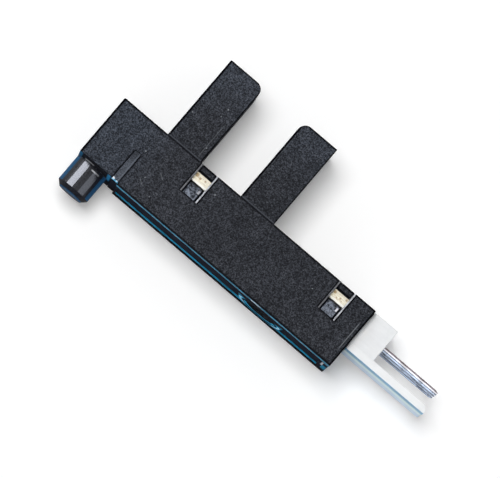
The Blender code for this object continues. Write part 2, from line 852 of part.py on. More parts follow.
def main():
    clear_scene()
    model = Model()
    build_case(model)
    build_cover(model)
    build_board(model)
    build_package(model, "emitter", CLEAR_RESIN)
    build_package(model, "detector", DARK_RESIN)
    build_chips(model)
    build_connector(model)
    shade(model)
    bpy.context.view_layer.update()


main()
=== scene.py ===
"""Studio scene of a slotted optical switch that lies on its side on a pale floor.

The packed model is loaded as a fixed frame. Each operator gives one piece, or one group of
like pieces, its finish, and one sets up the stage. Lengths in the code are in millimetres
unless a name or a unit says otherwise, and places are in the packed model's own axes.
"""

import math

import bmesh
import bpy
from bpy.props import FloatProperty, FloatVectorProperty, IntProperty, PointerProperty
from mathutils import Matrix, Vector


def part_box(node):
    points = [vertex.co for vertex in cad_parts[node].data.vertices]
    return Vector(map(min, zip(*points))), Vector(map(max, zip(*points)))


bl_info = {
    "name": "Slotted Optical Switch",
    "version": (1, 0, 0),
    "blender": (4, 5, 0),
    "location": "View3D > Sidebar > Optical Switch",
    "description": "Finishes and studio for a slotted optical switch",
    "category": "Object",
}

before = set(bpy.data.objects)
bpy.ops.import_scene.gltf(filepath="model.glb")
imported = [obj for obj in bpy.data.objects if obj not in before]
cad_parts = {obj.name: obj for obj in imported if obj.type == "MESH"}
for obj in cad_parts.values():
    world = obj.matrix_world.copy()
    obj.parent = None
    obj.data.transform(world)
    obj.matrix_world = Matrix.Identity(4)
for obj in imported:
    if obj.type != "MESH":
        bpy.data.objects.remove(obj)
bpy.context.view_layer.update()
MM = 0.001

CASE_LOW, CASE_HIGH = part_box("case")
HOUSING_LOW, HOUSING_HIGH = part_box("connector_housing")
SHOULDER = HOUSING_HIGH.y / MM
SIDE_FACE = CASE_HIGH.z / MM
PLAIN_END = CASE_LOW.x / MM
CASE_LENGTH = (CASE_HIGH.x - CASE_LOW.x) / MM
ARM_HEIGHT = (CASE_HIGH.y - HOUSING_HIGH.y) / MM
BASE_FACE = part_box("base_cover")[0].y / MM
BOSS_END = CASE_LOW.y / MM
HOUSING_FOOT = HOUSING_LOW.y / MM
BASE_DOWN = SHOULDER - BASE_FACE
MIDDLE_DEPTH = SIDE_FACE / 2

# Along the case from its plain end
BOSS_RIGHT = 3.65
TONGUE_LEFT, TONGUE_RIGHT = 3.85, 4.9
ARM_FEET = ((5.4, 9.6), (14.6, 18.8))
WINDOW_SIDES = ((9.75, 11.8), (27.15, 29.2))
SCREW_X = 23.25

# Down from the shoulder
TONGUE_TOP = 3.2
WINDOW_TOP, WINDOW_FOOT = 0.75, 3.35

TUBE_RADIUS, BORE_RADIUS = 2.8, 1.6
CHIP_CAP_LENGTH = 0.33

# Painted glints on the hooks' corners: along the case, and how white they are painted
HOOK_CORNER_GLINTS = ((11.3, 0.45), (28.72, 0.95))

# Painted glints at the tongue's foot: along the case, down from the shoulder, radius
TONGUE_GLINTS = ((4.13, 6.66, 0.17), (4.6, 6.72, 0.1))

# Brown spots on the board's sawn edge: along the case, down from the shoulder, radius
BOARD_SPOTS = (
    (10.1, 1.08, 0.2),
    (10.55, 1.2, 0.13),
    (11.12, 1.1, 0.1),
    (27.5, 1.08, 0.16),
    (28.3, 1.25, 0.1),
    (28.88, 1.0, 0.12),
)

# Small pale flecks on the side face: along the case, down from the shoulder, radius
FLECKS = (
    (8.3, -5.6, 0.07),
    (8.2, -4.65, 0.05),
    (5.8, -3.2, 0.06),
    (9.1, -1.4, 0.05),
    (12.65, 1.55, 0.07),
    (4.85, 2.65, 0.06),
    (6.43, 4.63, 0.05),
    (7.95, 5.8, 0.05),
    (25.6, 2.35, 0.05),
)

# Fine upright lines on the side face: along the case, top and foot down from the shoulder,
# and how pale they are
FINE_LINES = ((31.24, 2.0, 5.0, 0.6), (9.0, -4.1, -0.3, 0.2), (14.85, -7.6, -1.2, 0.08))

# Faint slanting scratches on the side face: the two ends of each, along and down
SCRATCHES = ((6.05, 4.95, 6.75, 5.45), (7.3, 3.35, 7.95, 3.75))

# What the two black plastics share, the black of their painted shade, and the painted blue sheen's
# strength where it is brightest
SHADE_BLACK = (0.0, 0.0, 0.001)
BLACK_SPECULAR = 0.02
BLACK_COAT_ROUGHNESS = 0.16
PAINTED_GLINT_STRENGTH = 1.55

RESIN_IOR = 1.52


# Settings


class SwitchStageSettings(bpy.types.PropertyGroup):
    """Camera, floor and lamps."""

    camera_distance: FloatProperty(
        name="Camera Distance",
        description="From the upper side face to the camera",
        default=0.6,
        unit="LENGTH",
    )
    camera_tilt: FloatProperty(
        name="Camera Tilt",
        description="How far the camera leans towards the base",
        default=math.radians(6.6),
        subtype="ANGLE",
    )
    camera_roll: FloatProperty(
        name="Camera Roll",
        description="How far the switch is turned in the picture",
        default=math.radians(40.4),
        subtype="ANGLE",
    )
    field_width: FloatProperty(
        name="Field Width",
        description="Width of the picture at the upper side face",
        default=0.04806,
        unit="LENGTH",
    )
    view_centre: FloatVectorProperty(
        name="View Centre",
        description="Point of the upper side face in the middle of the picture",
        default=(-0.00285, -0.002275, 0.0085),
        subtype="TRANSLATION",
        unit="LENGTH",
    )
    floor_colour: FloatVectorProperty(
        name="Floor Colour",
        description="Colour of the pale floor",
        default=(0.9, 0.9, 0.9),
        subtype="COLOR",
        size=3,
        min=0.0,
        max=1.0,
    )
    floor_lift: FloatProperty(
        name="Floor Lift",
        description="White that the floor adds for what looks at it",
        default=0.17,
        min=0.0,
        max=1.0,
    )
    sky_strength: FloatProperty(
        name="Sky Strength",
        description="Even light from all round",
        default=0.29,
        min=0.0,
    )
    lamp_distance: FloatProperty(
        name="Lamp Distance",
        description="From the view centre to each lamp",
        default=0.5,
        unit="LENGTH",
    )


class SwitchPlasticSettings(bpy.types.PropertyGroup):
    """The moulded plastics."""

    case_colour: FloatVectorProperty(
        name="Case Colour",
        description="Colour of the case's plastic",
        default=(0.036, 0.042, 0.054),
        subtype="COLOR",
        size=3,
        min=0.0,
        max=1.0,
    )
    # Painted highlight falloff: the case is painted darker and less blue away from its plain end
    falloff_case_colour: FloatVectorProperty(
        name="Warm Case Colour",
        description="Colour of the case's plastic away from its plain end",
        default=(0.0275, 0.0295, 0.0355),
        subtype="COLOR",
        size=3,
        min=0.0,
        max=1.0,
    )
    # Painted blue sheen: a reflection painted along the base's edges
    sheen_colour: FloatVectorProperty(
        name="Edge Colour",
        description="Blue sheen along the base's edges",
        default=(0.022, 0.30, 0.52),
        subtype="COLOR",
        size=3,
        min=0.0,
        max=1.0,
    )
    cover_colour: FloatVectorProperty(
        name="Cover Colour",
        description="Colour of the base cover's plastic",
        default=(0.010, 0.012, 0.018),
        subtype="COLOR",
        size=3,
        min=0.0,
        max=1.0,
    )
    # Painted highlight: the cover's hooks and tongue are painted paler where their faces catch the
    # light
    hook_and_tongue_highlight_colour: FloatVectorProperty(
        name="Rubbed Colour",
        description="Colour of the cover's hooks and tongue, rubbed as they snap in",
        default=(0.105, 0.118, 0.145),
        subtype="COLOR",
        size=3,
        min=0.0,
        max=1.0,
    )
    housing_colour: FloatVectorProperty(
        name="Housing Colour",
        description="Colour of the connector's housing",
        default=(0.79, 0.80, 0.805),
        subtype="COLOR",
        size=3,
        min=0.0,
        max=1.0,
    )
    spark_grain: FloatProperty(
        name="Spark Grain",
        description="Grains of the case's fine texture in a millimetre",
        default=5.5,
        min=0.1,
    )


class SwitchBoardSettings(bpy.types.PropertyGroup):
    """The circuit board and the small parts on it."""

    laminate_colour: FloatVectorProperty(
        name="Laminate Colour",
        description="Colour of the board's resin and glass",
        default=(0.80, 0.74, 0.57),
        subtype="COLOR",
        size=3,
        min=0.0,
        max=1.0,
    )
    blemish_colour: FloatVectorProperty(
        name="Blemish Colour",
        description="Colour of the brown spots on the sawn edge",
        default=(0.36, 0.23, 0.09),
        subtype="COLOR",
        size=3,
        min=0.0,
        max=1.0,
    )
    ceramic_colour: FloatVectorProperty(
        name="Resistor Colour",
        description="Colour of the resistors' glaze",
        default=(0.03, 0.03, 0.035),
        subtype="COLOR",
        size=3,
        min=0.0,
        max=1.0,
    )
    capacitor_colour: FloatVectorProperty(
        name="Capacitor Colour",
        description="Colour of the capacitor's ceramic",
        default=(0.50, 0.34, 0.20),
        subtype="COLOR",
        size=3,
        min=0.0,
        max=1.0,
    )


class SwitchLightPathSettings(bpy.types.PropertyGroup):
    """The emitter's and the detector's resins."""

    emitter_colour: FloatVectorProperty(
        name="Emitter Colour",
        description="Tint of the emitter's clear resin",
        default=(0.62, 0.72, 0.86),
        subtype="COLOR",
        size=3,
        min=0.0,
        max=1.0,
    )
    detector_colour: FloatVectorProperty(
        name="Detector Colour",
        description="Tint of the detector's dark resin",
        default=(0.05, 0.02, 0.03),
        subtype="COLOR",
        size=3,
        min=0.0,
        max=1.0,
    )


class SwitchMetalSettings(bpy.types.PropertyGroup):
    """Tinned pins and leads."""

    tin_colour: FloatVectorProperty(
        name="Tin Colour",
        description="Colour of the tinned metal",
        default=(0.62, 0.66, 0.74),
        subtype="COLOR",
        size=3,
        min=0.0,
        max=1.0,
    )
    draw_lines: IntProperty(
        name="Draw Lines",
        description="Fine drawing lines across a millimetre of a pin",
        default=14,
        min=1,
    )


SETTINGS = {
    "switch_stage": SwitchStageSettings,
    "switch_plastic": SwitchPlasticSettings,
    "switch_board": SwitchBoardSettings,
    "switch_light_path": SwitchLightPathSettings,
    "switch_metal": SwitchMetalSettings,
}


# Node tools


class Finish:
    """One material's nodes. Values that are sockets are linked, and others are set.

    Along is the distance from the case's plain end, down is the distance from the shoulder
    towards the base, and depth is the height over the floor.
    """

    def __init__(self, name):
        self.material = bpy.data.materials.new(name)
        self.material.use_nodes = True
        self.tree = self.material.node_tree
        self.shader = self.tree.nodes["Principled BSDF"]
        place = self.node("TexCoord").outputs["Object"]
        self.place = self.maths("MULTIPLY", place, (1 / MM,) * 3, vector=True)
        self.axes = self.node("SeparateXYZ", {0: self.place}).outputs
        self.along = self.maths("SUBTRACT", self.axes["X"], PLAIN_END)
        self.down = self.maths("SUBTRACT", SHOULDER, self.axes["Y"])
        self.depth = self.axes["Z"]

    def node(self, kind, inputs=None, **settings):
        made = self.tree.nodes.new("ShaderNode" + kind)
        for name, value in settings.items():
            setattr(made, name, value)
        for key, value in (inputs or {}).items():
            self.feed(made.inputs[key], value)
        return made

    def feed(self, socket, value):
        if isinstance(value, bpy.types.NodeSocket):
            self.tree.links.new(value, socket)
        else:
            socket.default_value = value

    def maths(self, operation, first, second=0.0, vector=False):
        kind = "VectorMath" if vector else "Math"
        made = self.node(kind, {0: first, 1: second}, operation=operation)
        plain = not vector or operation == "DOT_PRODUCT"
        return made.outputs["Value" if plain else "Vector"]

    def ramp(self, value, low, high, to_low=0.0, to_high=1.0, smooth=True):
        made = self.node(
            "MapRange",
            {0: value, 1: low, 2: high, 3: to_low, 4: to_high},
            interpolation_type="SMOOTHSTEP" if smooth else "LINEAR",
        )
        return made.outputs[0]

    def mix(self, amount, first, second):
        made = self.node("Mix", {"Factor": amount}, data_type="RGBA")
        for socket, colour in ((made.inputs[6], first), (made.inputs[7], second)):
            if not isinstance(colour, bpy.types.NodeSocket):
                colour = (*colour, 1.0)
            self.feed(socket, colour)
        return made.outputs[2]

    def layered(self, colour, *layers):
        """The colour under layers, each given by its mask and its own colour."""
        for mask, tint in layers:
            colour = self.mix(mask, colour, tint)
        return colour

    def tinted(self, colour, factor):
        """The colour with its brightness multiplied by a value."""
        scaled = self.node("VectorMath", {0: colour, "Scale": factor}, operation="SCALE")
        return scaled.outputs["Vector"]

    def stretched(self, scale):
        return self.node("Mapping", {"Vector": self.place, "Scale": scale}).outputs["Vector"]

    def noise(self, scale, detail=2.0, roughness=0.5, place=None):
        made = self.node(
            "TexNoise",
            {"Vector": place or self.place, "Scale": scale, "Detail": detail, "Roughness": roughness},
        )
        return made.outputs["Fac"]

    def cells(self, scale):
        """Distance from the nearest cell's middle, and that cell's own random values."""
        made = self.node("TexVoronoi", {"Vector": self.place, "Scale": scale})
        chance = self.node("SeparateColor", {0: made.outputs["Color"]}).outputs
        return made.outputs["Distance"], chance

    def product(self, *values):
        made = values[0]
        for value in values[1:]:
            made = self.maths("MULTIPLY", made, value)
        return made

    def most(self, *values):
        made = values[0]
        for value in values[1:]:
            made = self.maths("MAXIMUM", made, value)
        return made

    def outside(self, mask):
        """One less the mask."""
        return self.maths("SUBTRACT", 1.0, mask)

    def unsigned(self, value):
        """The value without its sign."""
        return self.maths("ABSOLUTE", value)

    def squares(self, first, second):
        """The sum of two values' squares."""
        return self.maths("ADD", self.product(first, first), self.product(second, second))

    def band(self, value, low, high, blur=0.03):
        """One between two values and nought outside them."""
        return self.product(
            self.ramp(value, low - blur, low + blur), self.ramp(value, high + blur, high - blur)
        )

    def spots(self, places):
        """Round soft-edged spots, each given by its place along, its place down and its radius."""
        marks = []
        for x, y, radius in places:
            away = self.squares(
                self.maths("SUBTRACT", self.along, x), self.maths("SUBTRACT", self.down, y)
            )
            marks.append(self.ramp(away, (radius * 1.3) ** 2, (radius * 0.5) ** 2))
        return self.most(*marks)

    def facing(self, axis):
        """How squarely a face looks along an axis, from minus one to one."""
        normal = self.node("NewGeometry").outputs["Normal"]
        return self.node("SeparateXYZ", {0: normal}).outputs[axis]

    def rounded(self, radius):
        """The normal over edges rounded by a radius."""
        radius = self.maths("MULTIPLY", radius, MM)
        return self.node("Bevel", {"Radius": radius}, samples=6).outputs["Normal"]

    def edges(self, radius):
        """One on the edges and nought on the flats."""
        flat = self.node("NewGeometry").outputs["True Normal"]
        likeness = self.maths("DOT_PRODUCT", self.rounded(radius), flat, vector=True)
        return self.ramp(likeness, 0.99, 0.94)

    def surface(self, **values):
        """Feeds the shader's sockets, named as their labels are."""
        for name, value in values.items():
            label = name.replace("_", " ").title().replace("Ior", "IOR")
            self.feed(self.shader.inputs[label], value)

    def relief(self, height, reach, rounding):
        """Bump whose full height is the reach, over edges rounded by a radius."""
        inputs = {"Height": height, "Distance": reach * MM, "Normal": self.rounded(rounding)}
        self.surface(normal=self.node("Bump", inputs).outputs["Normal"])


def dress(names, finish):
    """Gives CAD nodes a finish."""
    for name in names:
        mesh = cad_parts[name].data
        mesh.materials.clear()
        mesh.materials.append(finish.material)


# Finishes


def dust(finish):
    """Sparse pale specks above the base, as a mask."""
    reach, chance = finish.cells(0.85)
    chosen = finish.ramp(chance["Red"], 0.62, 0.66)
    radius = finish.ramp(chance["Green"], 0.0, 1.0, 0.03, 0.06)
    specks = finish.ramp(finish.maths("DIVIDE", reach, radius), 1.0, 0.55)
    off_base = finish.ramp(finish.down, BASE_DOWN - 0.6, BASE_DOWN - 0.8)
    return finish.product(specks, chosen, off_base, 0.3)


def sheen_patches(finish):
    """How strong the painted blue sheen is from place to place."""
    return finish.ramp(finish.noise(0.9, 3.0, 0.7), 0.35, 0.65, 0.6, 1.0)


def textured_black(finish, settings, grain):
    """The case's textured colour, with a painted highlight: bluer and lighter at its plain end and
    paler up its arms.
    """
    along, down = finish.along, finish.down
    specks = finish.noise(settings.spark_grain * 1.7, 0.0)
    pits = finish.noise(settings.spark_grain * 0.4, 3.0, 0.6)
    mottle = finish.noise(0.5, 4.0, 0.6)
    shade = finish.product(
        finish.ramp(mottle, 0.3, 0.7, 0.87, 1.13),
        finish.ramp(grain, 0.36, 0.64, 0.5, 1.5, smooth=False),
        finish.ramp(specks, 0.34, 0.66, 0.4, 1.6, smooth=False),
        finish.ramp(pits, 0.3, 0.7, 0.85, 1.15),
        # Painted highlight: paler towards the arms' tips, a little darker on the arms and away from
        # the plain end
        finish.ramp(down, 0.0, -ARM_HEIGHT, 1.0, 1.4),
        finish.ramp(along, 10.0, 15.0, 1.0, 0.92),
        finish.ramp(down, -0.5, 0.5, 0.85, 1.0),
    )
    # Painted highlight falloff towards the darker, less blue colour away from the plain end
    highlight_falloff = finish.product(
        finish.ramp(along, 2.0, 8.0), finish.ramp(down, -ARM_HEIGHT, -3.0, 0.4, 1.0)
    )
    return finish.mix(
        highlight_falloff,
        finish.tinted(settings.case_colour, shade),
        finish.tinted(settings.falloff_case_colour, shade),
    )


def side_face_marks(finish):
    """The few flecks and fine lines that stand out on the side face, as a mask."""
    along, down = finish.along, finish.down
    marks = [finish.spots(FLECKS)]
    for x, top, foot, paleness in FINE_LINES:
        upright = finish.band(along, x - 0.04, x + 0.04)
        marks.append(finish.product(upright, finish.band(down, top, foot, 0.4), paleness))
    for x, y, x_end, y_end in SCRATCHES:
        slope = (y_end - y) / (x_end - x)
        line = finish.maths("ADD", finish.product(along, slope), y - slope * x)
        away = finish.unsigned(finish.maths("SUBTRACT", down, line))
        upon = finish.product(finish.ramp(away, 0.07, 0.02), finish.band(along, x, x_end, 0.1))
        marks.append(finish.product(upon, 0.3))
    return finish.most(*marks)


def side_face_shade_outline(finish):
    """The painted shade line just inside the side face's outer edge, as a mask."""
    along, down = finish.along, finish.down
    feet = finish.most(*(finish.band(along, low, high, 0.02) for low, high in ARM_FEET))
    ends = finish.most(
        finish.ramp(along, 0.25, 0.18), finish.ramp(along, CASE_LENGTH - 0.21, CASE_LENGTH - 0.15)
    )
    shoulder = finish.product(finish.ramp(down, 0.22, 0.16), finish.outside(feet))
    flanks = []
    for low, high in ARM_FEET:
        flanks.append(finish.band(along, low - 0.1, low + 0.21))
        flanks.append(finish.band(along, high - 0.12, high + 0.1))
    tips = finish.ramp(down, 0.19 - ARM_HEIGHT, 0.14 - ARM_HEIGHT)
    on_arms = finish.product(finish.most(tips, *flanks), finish.ramp(down, 0.0, -0.04))
    on_body = finish.product(finish.most(ends, shoulder), finish.ramp(down, -0.04, 0.0))
    return finish.most(on_body, on_arms)


def side_face_dark_lines(finish, on_side):
    """The painted shade lines: the outline, and the dark lines round the windows and above the base,
    as a mask.
    """
    along, down = finish.along, finish.down
    tongue_top = finish.product(
        finish.band(along, TONGUE_LEFT, TONGUE_RIGHT),
        finish.band(down, TONGUE_TOP - 0.3, TONGUE_TOP + 0.1, 0.1),
    )
    outline = finish.product(
        finish.most(finish.edges(0.3), side_face_shade_outline(finish)), finish.outside(tongue_top)
    )
    rims = []
    above = finish.band(down, WINDOW_TOP - 0.17, WINDOW_TOP + 0.05)
    for left, right in WINDOW_SIDES:
        rims.append(finish.band(along, left - 0.14, left))
        rims.append(finish.band(along, right, right + 0.16))
        rims.append(finish.product(finish.band(along, left, right), above))
    round_windows = finish.product(
        finish.most(*rims), finish.ramp(down, WINDOW_FOOT + 0.15, WINDOW_FOOT - 0.05)
    )
    above_base = finish.product(
        finish.band(down, BASE_DOWN - 0.24, BASE_DOWN - 0.09),
        finish.ramp(along, TONGUE_LEFT - 0.05, TONGUE_LEFT + 0.35),
        0.85,
    )
    return finish.product(finish.most(outline, round_windows, above_base), on_side)


def arm_foot_shade_and_highlight(finish, on_side):
    """The painted shade line under each arm's foot and the painted highlight line over it."""
    feet = [finish.band(finish.along, low + 0.1, high - 0.1) for low, high in ARM_FEET]
    foot_line = finish.product(finish.most(*feet), on_side)
    under = finish.product(foot_line, finish.band(finish.down, 0.05, 0.15, 0.02), 0.8)
    over = finish.product(foot_line, finish.band(finish.down, -0.15, -0.03, 0.02), 0.5)
    return (under, (0.001, 0.001, 0.002)), (over, (0.10, 0.11, 0.13))


def window_side_highlights(finish):
    """Where painted highlights lie on the windows' rounded sides, as a mask."""
    sides = []
    for left, right in WINDOW_SIDES:
        lit_left = finish.band(finish.along, left - 0.01, left + 0.15, 0.01)
        lit_right = finish.band(finish.along, right - 0.2, right + 0.01, 0.01)
        sides.append(finish.product(lit_left, 0.3))
        sides.append(finish.product(lit_right, 0.85))
    rounded = finish.product(
        finish.ramp(finish.facing("Z"), 0.985, 0.96),
        finish.ramp(finish.depth, SIDE_FACE - 0.18, SIDE_FACE - 0.14),
    )
    highlight_patches = finish.ramp(finish.noise(3.0, 2.0), 0.35, 0.6, 0.55, 1.0)
    over_foot = finish.ramp(finish.down, WINDOW_FOOT + 0.35, WINDOW_FOOT + 0.15)
    return finish.product(finish.most(*sides), rounded, highlight_patches, over_foot)


def base_edge_sheen(finish, on_side, on_base):
    """Where a painted blue sheen lies along the base's upper edge, as a mask."""
    beside = finish.product(finish.band(finish.down, BASE_DOWN - 0.03, BASE_DOWN + 0.05), on_side)
    return finish.product(
        finish.most(beside, on_base),
        finish.ramp(finish.depth, SIDE_FACE - 1.6, SIDE_FACE - 0.5),
        finish.ramp(finish.along, TONGUE_LEFT + 0.05, TONGUE_LEFT + 0.45),
        sheen_patches(finish),
    )


def screw_tube_painted_glints(finish):
    """Where painted glints lie on the screw tube's foot, and the brightest part of that."""
    across = finish.maths("SUBTRACT", finish.along, SCREW_X)
    beyond = finish.maths("SUBTRACT", finish.depth, MIDDLE_DEPTH)
    reach = finish.maths("SQRT", finish.squares(across, beyond))
    outer = finish.product(
        finish.band(reach, TUBE_RADIUS - 0.6, TUBE_RADIUS, 0.08),
        finish.ramp(finish.unsigned(across), 1.3, 1.9),
        finish.ramp(beyond, 1.6, 0.8),
    )
    inner = finish.product(
        finish.band(reach, BORE_RADIUS, BORE_RADIUS + 0.35, 0.04), finish.ramp(beyond, 0.3, -0.3)
    )
    core = finish.product(
        finish.band(reach, TUBE_RADIUS - 0.5, TUBE_RADIUS - 0.1, 0.08),
        finish.band(finish.unsigned(across), 1.7, 2.5, 0.15),
        finish.ramp(beyond, 0.9, 0.5),
    )
    return finish.most(outer, inner), core


def base_layers(finish, settings, on_base, sheen_edge):
    """The base, painted near black as shade, with its painted blue edge sheen and the painted glints
    on its edge and round the screw tube.
    """
    glints, cores = screw_tube_painted_glints(finish)
    # Painted white glint on the base's edge over the screw tube
    bright_edge = finish.product(
        sheen_edge,
        finish.band(finish.along, 21.8, 23.0, 0.1),
        finish.ramp(finish.down, BASE_DOWN - 0.05, BASE_DOWN),
        0.75,
    )
    return (
        # Painted shade: the base is painted near black
        (finish.product(on_base, 0.88), (0.001, 0.001, 0.003)),
        (finish.product(sheen_edge, 0.9), settings.sheen_colour),
        (finish.product(on_base, glints), finish.tinted(settings.sheen_colour, PAINTED_GLINT_STRENGTH)),
        (finish.product(on_base, cores, 0.7), (0.6, 0.82, 0.95)),
        (bright_edge, (0.72, 0.84, 0.92)),
    )


def boss_layers(finish, on_base, on_boss, rims, over_base, upper_half):
    """The black boss, its painted blue rim sheen, and the painted glints at its root and painted blue
    sheen on the base beside it.
    """
    along = finish.along
    beside_boss = finish.most(
        finish.band(along, 3.55, 3.9, 0.1), finish.product(finish.band(along, 0.0, 0.4, 0.1), 0.5)
    )
    root = finish.most(
        finish.product(
            on_base, finish.band(along, 0.85, 1.9, 0.1), finish.band(finish.depth, 5.7, 6.9, 0.2)
        ),
        finish.product(
            on_boss, finish.band(along, 2.0, 2.9, 0.1), finish.band(over_base, -0.24, -0.1)
        ),
    )
    dashes = finish.ramp(finish.noise(2.5, 1.0), 0.35, 0.6, 0.35, 1.0)
    return (
        (finish.product(on_boss, 0.85), (0.003, 0.003, 0.006)),
        # Painted blue sheen on the boss's rims
        (finish.product(rims, 0.9), (0.018, 0.10, 0.23)),
        # Painted blue sheen on the base beside the boss
        (finish.product(on_base, beside_boss, upper_half, 0.9), (0.03, 0.24, 0.5)),
        # Painted glints at the boss's root
        (finish.product(root, dashes, 0.8), (0.6, 0.62, 0.66)),
    )


def case_plastic(settings):
    """Black plastic with a fine spark-eroded texture and a polished locating boss, with painted shade
    lines, painted blue sheen, painted highlights and painted glints.
    """
    finish = Finish("spark_textured_black")
    depth = finish.depth
    grain = finish.noise(settings.spark_grain, 2.0, 0.7)
    sparkle = finish.ramp(finish.noise(settings.spark_grain * 1.1, 1.0, 0.8), 0.60, 0.70)
    over_base = finish.maths("SUBTRACT", finish.axes["Y"], BASE_FACE)
    on_boss = finish.product(
        finish.ramp(finish.along, BOSS_RIGHT + 0.09, BOSS_RIGHT + 0.03),
        finish.ramp(over_base, 0.23, 0.17),
    )
    on_base = finish.product(
        finish.ramp(finish.facing("Y"), -0.6, -0.85),
        finish.ramp(finish.down, BASE_DOWN - 0.5, BASE_DOWN - 0.4),
        finish.outside(on_boss),
    )
    on_side = finish.ramp(depth, SIDE_FACE - 0.4, SIDE_FACE - 0.35)
    upper_half = finish.ramp(depth, MIDDLE_DEPTH - 0.8, MIDDLE_DEPTH + 0.8)
    boss_end = finish.ramp(finish.axes["Y"], BOSS_END + 0.12, BOSS_END + 0.04)
    # Painted blue sheen on the boss's rims, as a mask
    rims = finish.product(
        on_boss,
        finish.most(
            finish.ramp(finish.unsigned(finish.facing("X")), 0.74, 0.88), finish.product(boss_end, 0.7)
        ),
        upper_half,
    )
    shade_lines = side_face_dark_lines(finish, on_side)
    # Painted blue sheen along the base's upper edge, which also feeds the coat
    sheen_edge = base_edge_sheen(finish, on_side, on_base)
    colour = finish.layered(
        textured_black(finish, settings, grain),
        (dust(finish), (0.20, 0.22, 0.25)),
        (finish.product(side_face_marks(finish), on_side, 0.5), (0.50, 0.54, 0.58)),
        (finish.product(sparkle, on_side, 0.45), (0.12, 0.13, 0.15)),
        # Painted shade along the side face's edges, round the windows and above the base
        (finish.product(shade_lines, 0.97), SHADE_BLACK),
        # Painted shade and highlight lines at the arms' feet
        *arm_foot_shade_and_highlight(finish, on_side),
        # Painted highlights on the windows' rounded sides
        (window_side_highlights(finish), (0.80, 0.82, 0.88)),
        # Painted shade, blue sheen and glints on the base
        *base_layers(finish, settings, on_base, sheen_edge),
        # Painted blue sheen and glints on and round the boss
        *boss_layers(finish, on_base, on_boss, rims, over_base, upper_half),
    )
    polished = finish.product(
        on_boss, finish.outside(rims), finish.ramp(finish.facing("Y"), -0.5, -0.2, 0.1, 0.56)
    )
    finish.surface(
        base_color=colour,
        roughness=finish.most(finish.ramp(grain, 0.3, 0.7, 0.55, 0.75), on_base, shade_lines),
        specular_ior_level=BLACK_SPECULAR,
        coat_weight=finish.most(polished, finish.product(sheen_edge, 0.3)),
        coat_roughness=BLACK_COAT_ROUGHNESS,
    )
    flat = finish.ramp(on_boss, 0.0, 1.0, 1.0, 0.12)
    rounding = finish.ramp(on_boss, 0.0, 1.0, 0.08, 0.45)
    finish.relief(finish.product(grain, flat), 0.03, rounding)
    return finish


def cover_plastic(settings):
    """The base cover's black plastic, painted paler on its hooks and tongue as a highlight where they
    catch the light, with painted shade, blue sheen and glints.
    """
    finish = Finish("satin_black")
    along, down, depth = finish.along, finish.down, finish.depth
    grain = finish.noise(settings.spark_grain * 1.4, 2.0, 0.6)
    blots = finish.noise(3.2, 3.0, 0.7)
    mottle = finish.noise(0.7, 3.0, 0.6)
    plain = finish.tinted(settings.cover_colour, finish.ramp(mottle, 0.3, 0.7, 0.7, 1.4))
    # Painted highlight on the hooks, in blots
    hooks = finish.tinted(settings.hook_and_tongue_highlight_colour, finish.ramp(blots, 0.36, 0.64, 0.15, 2.3))
    # Painted highlight on the tongue, paler towards its foot
    tongue = finish.tinted(
        settings.hook_and_tongue_highlight_colour,
        finish.product(
            finish.ramp(grain, 0.35, 0.65, 0.6, 1.4), finish.ramp(down, 3.2, 5.0, 0.36, 0.68)
        ),
    )
    on_side = finish.product(
        finish.ramp(depth, SIDE_FACE - 0.75, SIDE_FACE - 0.6),
        finish.ramp(finish.unsigned(finish.facing("Z")), 0.4, 0.6),
    )
    on_base = finish.ramp(finish.facing("Y"), -0.6, -0.85)
    on_tongue = finish.ramp(along, TONGUE_RIGHT, TONGUE_RIGHT - 0.1)
    # Painted highlight on the tongue's right edge
    tongue_edge = finish.product(finish.band(along, 4.58, 4.68), on_side, 0.4)
    # Painted shade in the gap over the hooks
    hook_top_shade = finish.product(finish.band(down, 1.5, 2.0), on_side, 0.97)
    # Painted glints at the tongue's foot
    flecks = finish.product(finish.spots(TONGUE_GLINTS), on_side)
    # Painted glints on the hooks' corners
    corner_glints = []
    for x, whiteness in HOOK_CORNER_GLINTS:
        corner_glints.append(finish.product(finish.band(along, x - 0.1, x + 0.1), whiteness))
    hook_glints = finish.product(finish.most(*corner_glints), finish.band(down, 2.15, 2.55, 0.05), on_side)
    # Painted shade on the base's far border, near the floor
    far_border_shade = finish.product(on_base, finish.ramp(depth, 2.4, 1.9), 0.9)
    # Painted blue glint and pale painted highlight on the end tab
    end_glint = finish.product(
        on_base, finish.band(along, 31.12, 31.6), finish.band(depth, 2.6, 5.4, 0.3), 0.7
    )
    end_tick = finish.product(
        on_base, finish.band(along, 30.92, 31.12), finish.band(depth, 4.6, 7.4, 0.2), 0.8
    )
    # Painted blue sheen on the step wall in the base
    step = finish.product(
        finish.ramp(finish.facing("Z"), 0.3, 0.6),
        finish.ramp(down, BASE_DOWN - 0.4, BASE_DOWN - 0.25),
        sheen_patches(finish),
    )
    colour = finish.layered(
        finish.mix(on_side, plain, finish.mix(on_tongue, hooks, tongue)),
        (tongue_edge, (0.16, 0.18, 0.22)),
        (hook_top_shade, (0.0, 0.002, 0.003)),
        (flecks, (0.85, 0.87, 0.9)),
        (hook_glints, (0.86, 0.86, 0.93)),
        (dust(finish), (0.3, 0.33, 0.38)),
        # Painted shade: the base face is painted darker
        (finish.product(on_base, 0.4), (0.001, 0.002, 0.012)),
        (far_border_shade, SHADE_BLACK),
        (end_glint, settings.sheen_colour),
        (end_tick, (0.75, 0.8, 0.88)),
        (step, finish.tinted(settings.sheen_colour, PAINTED_GLINT_STRENGTH)),
    )
    finish.surface(
        base_color=colour,
        roughness=finish.most(finish.ramp(grain, 0.3, 0.7, 0.45, 0.62), on_base),
        specular_ior_level=BLACK_SPECULAR,
        coat_weight=finish.product(step, 0.3),
        coat_roughness=BLACK_COAT_ROUGHNESS,
    )
    finish.relief(grain, 0.012, rounding=0.06)
    return finish


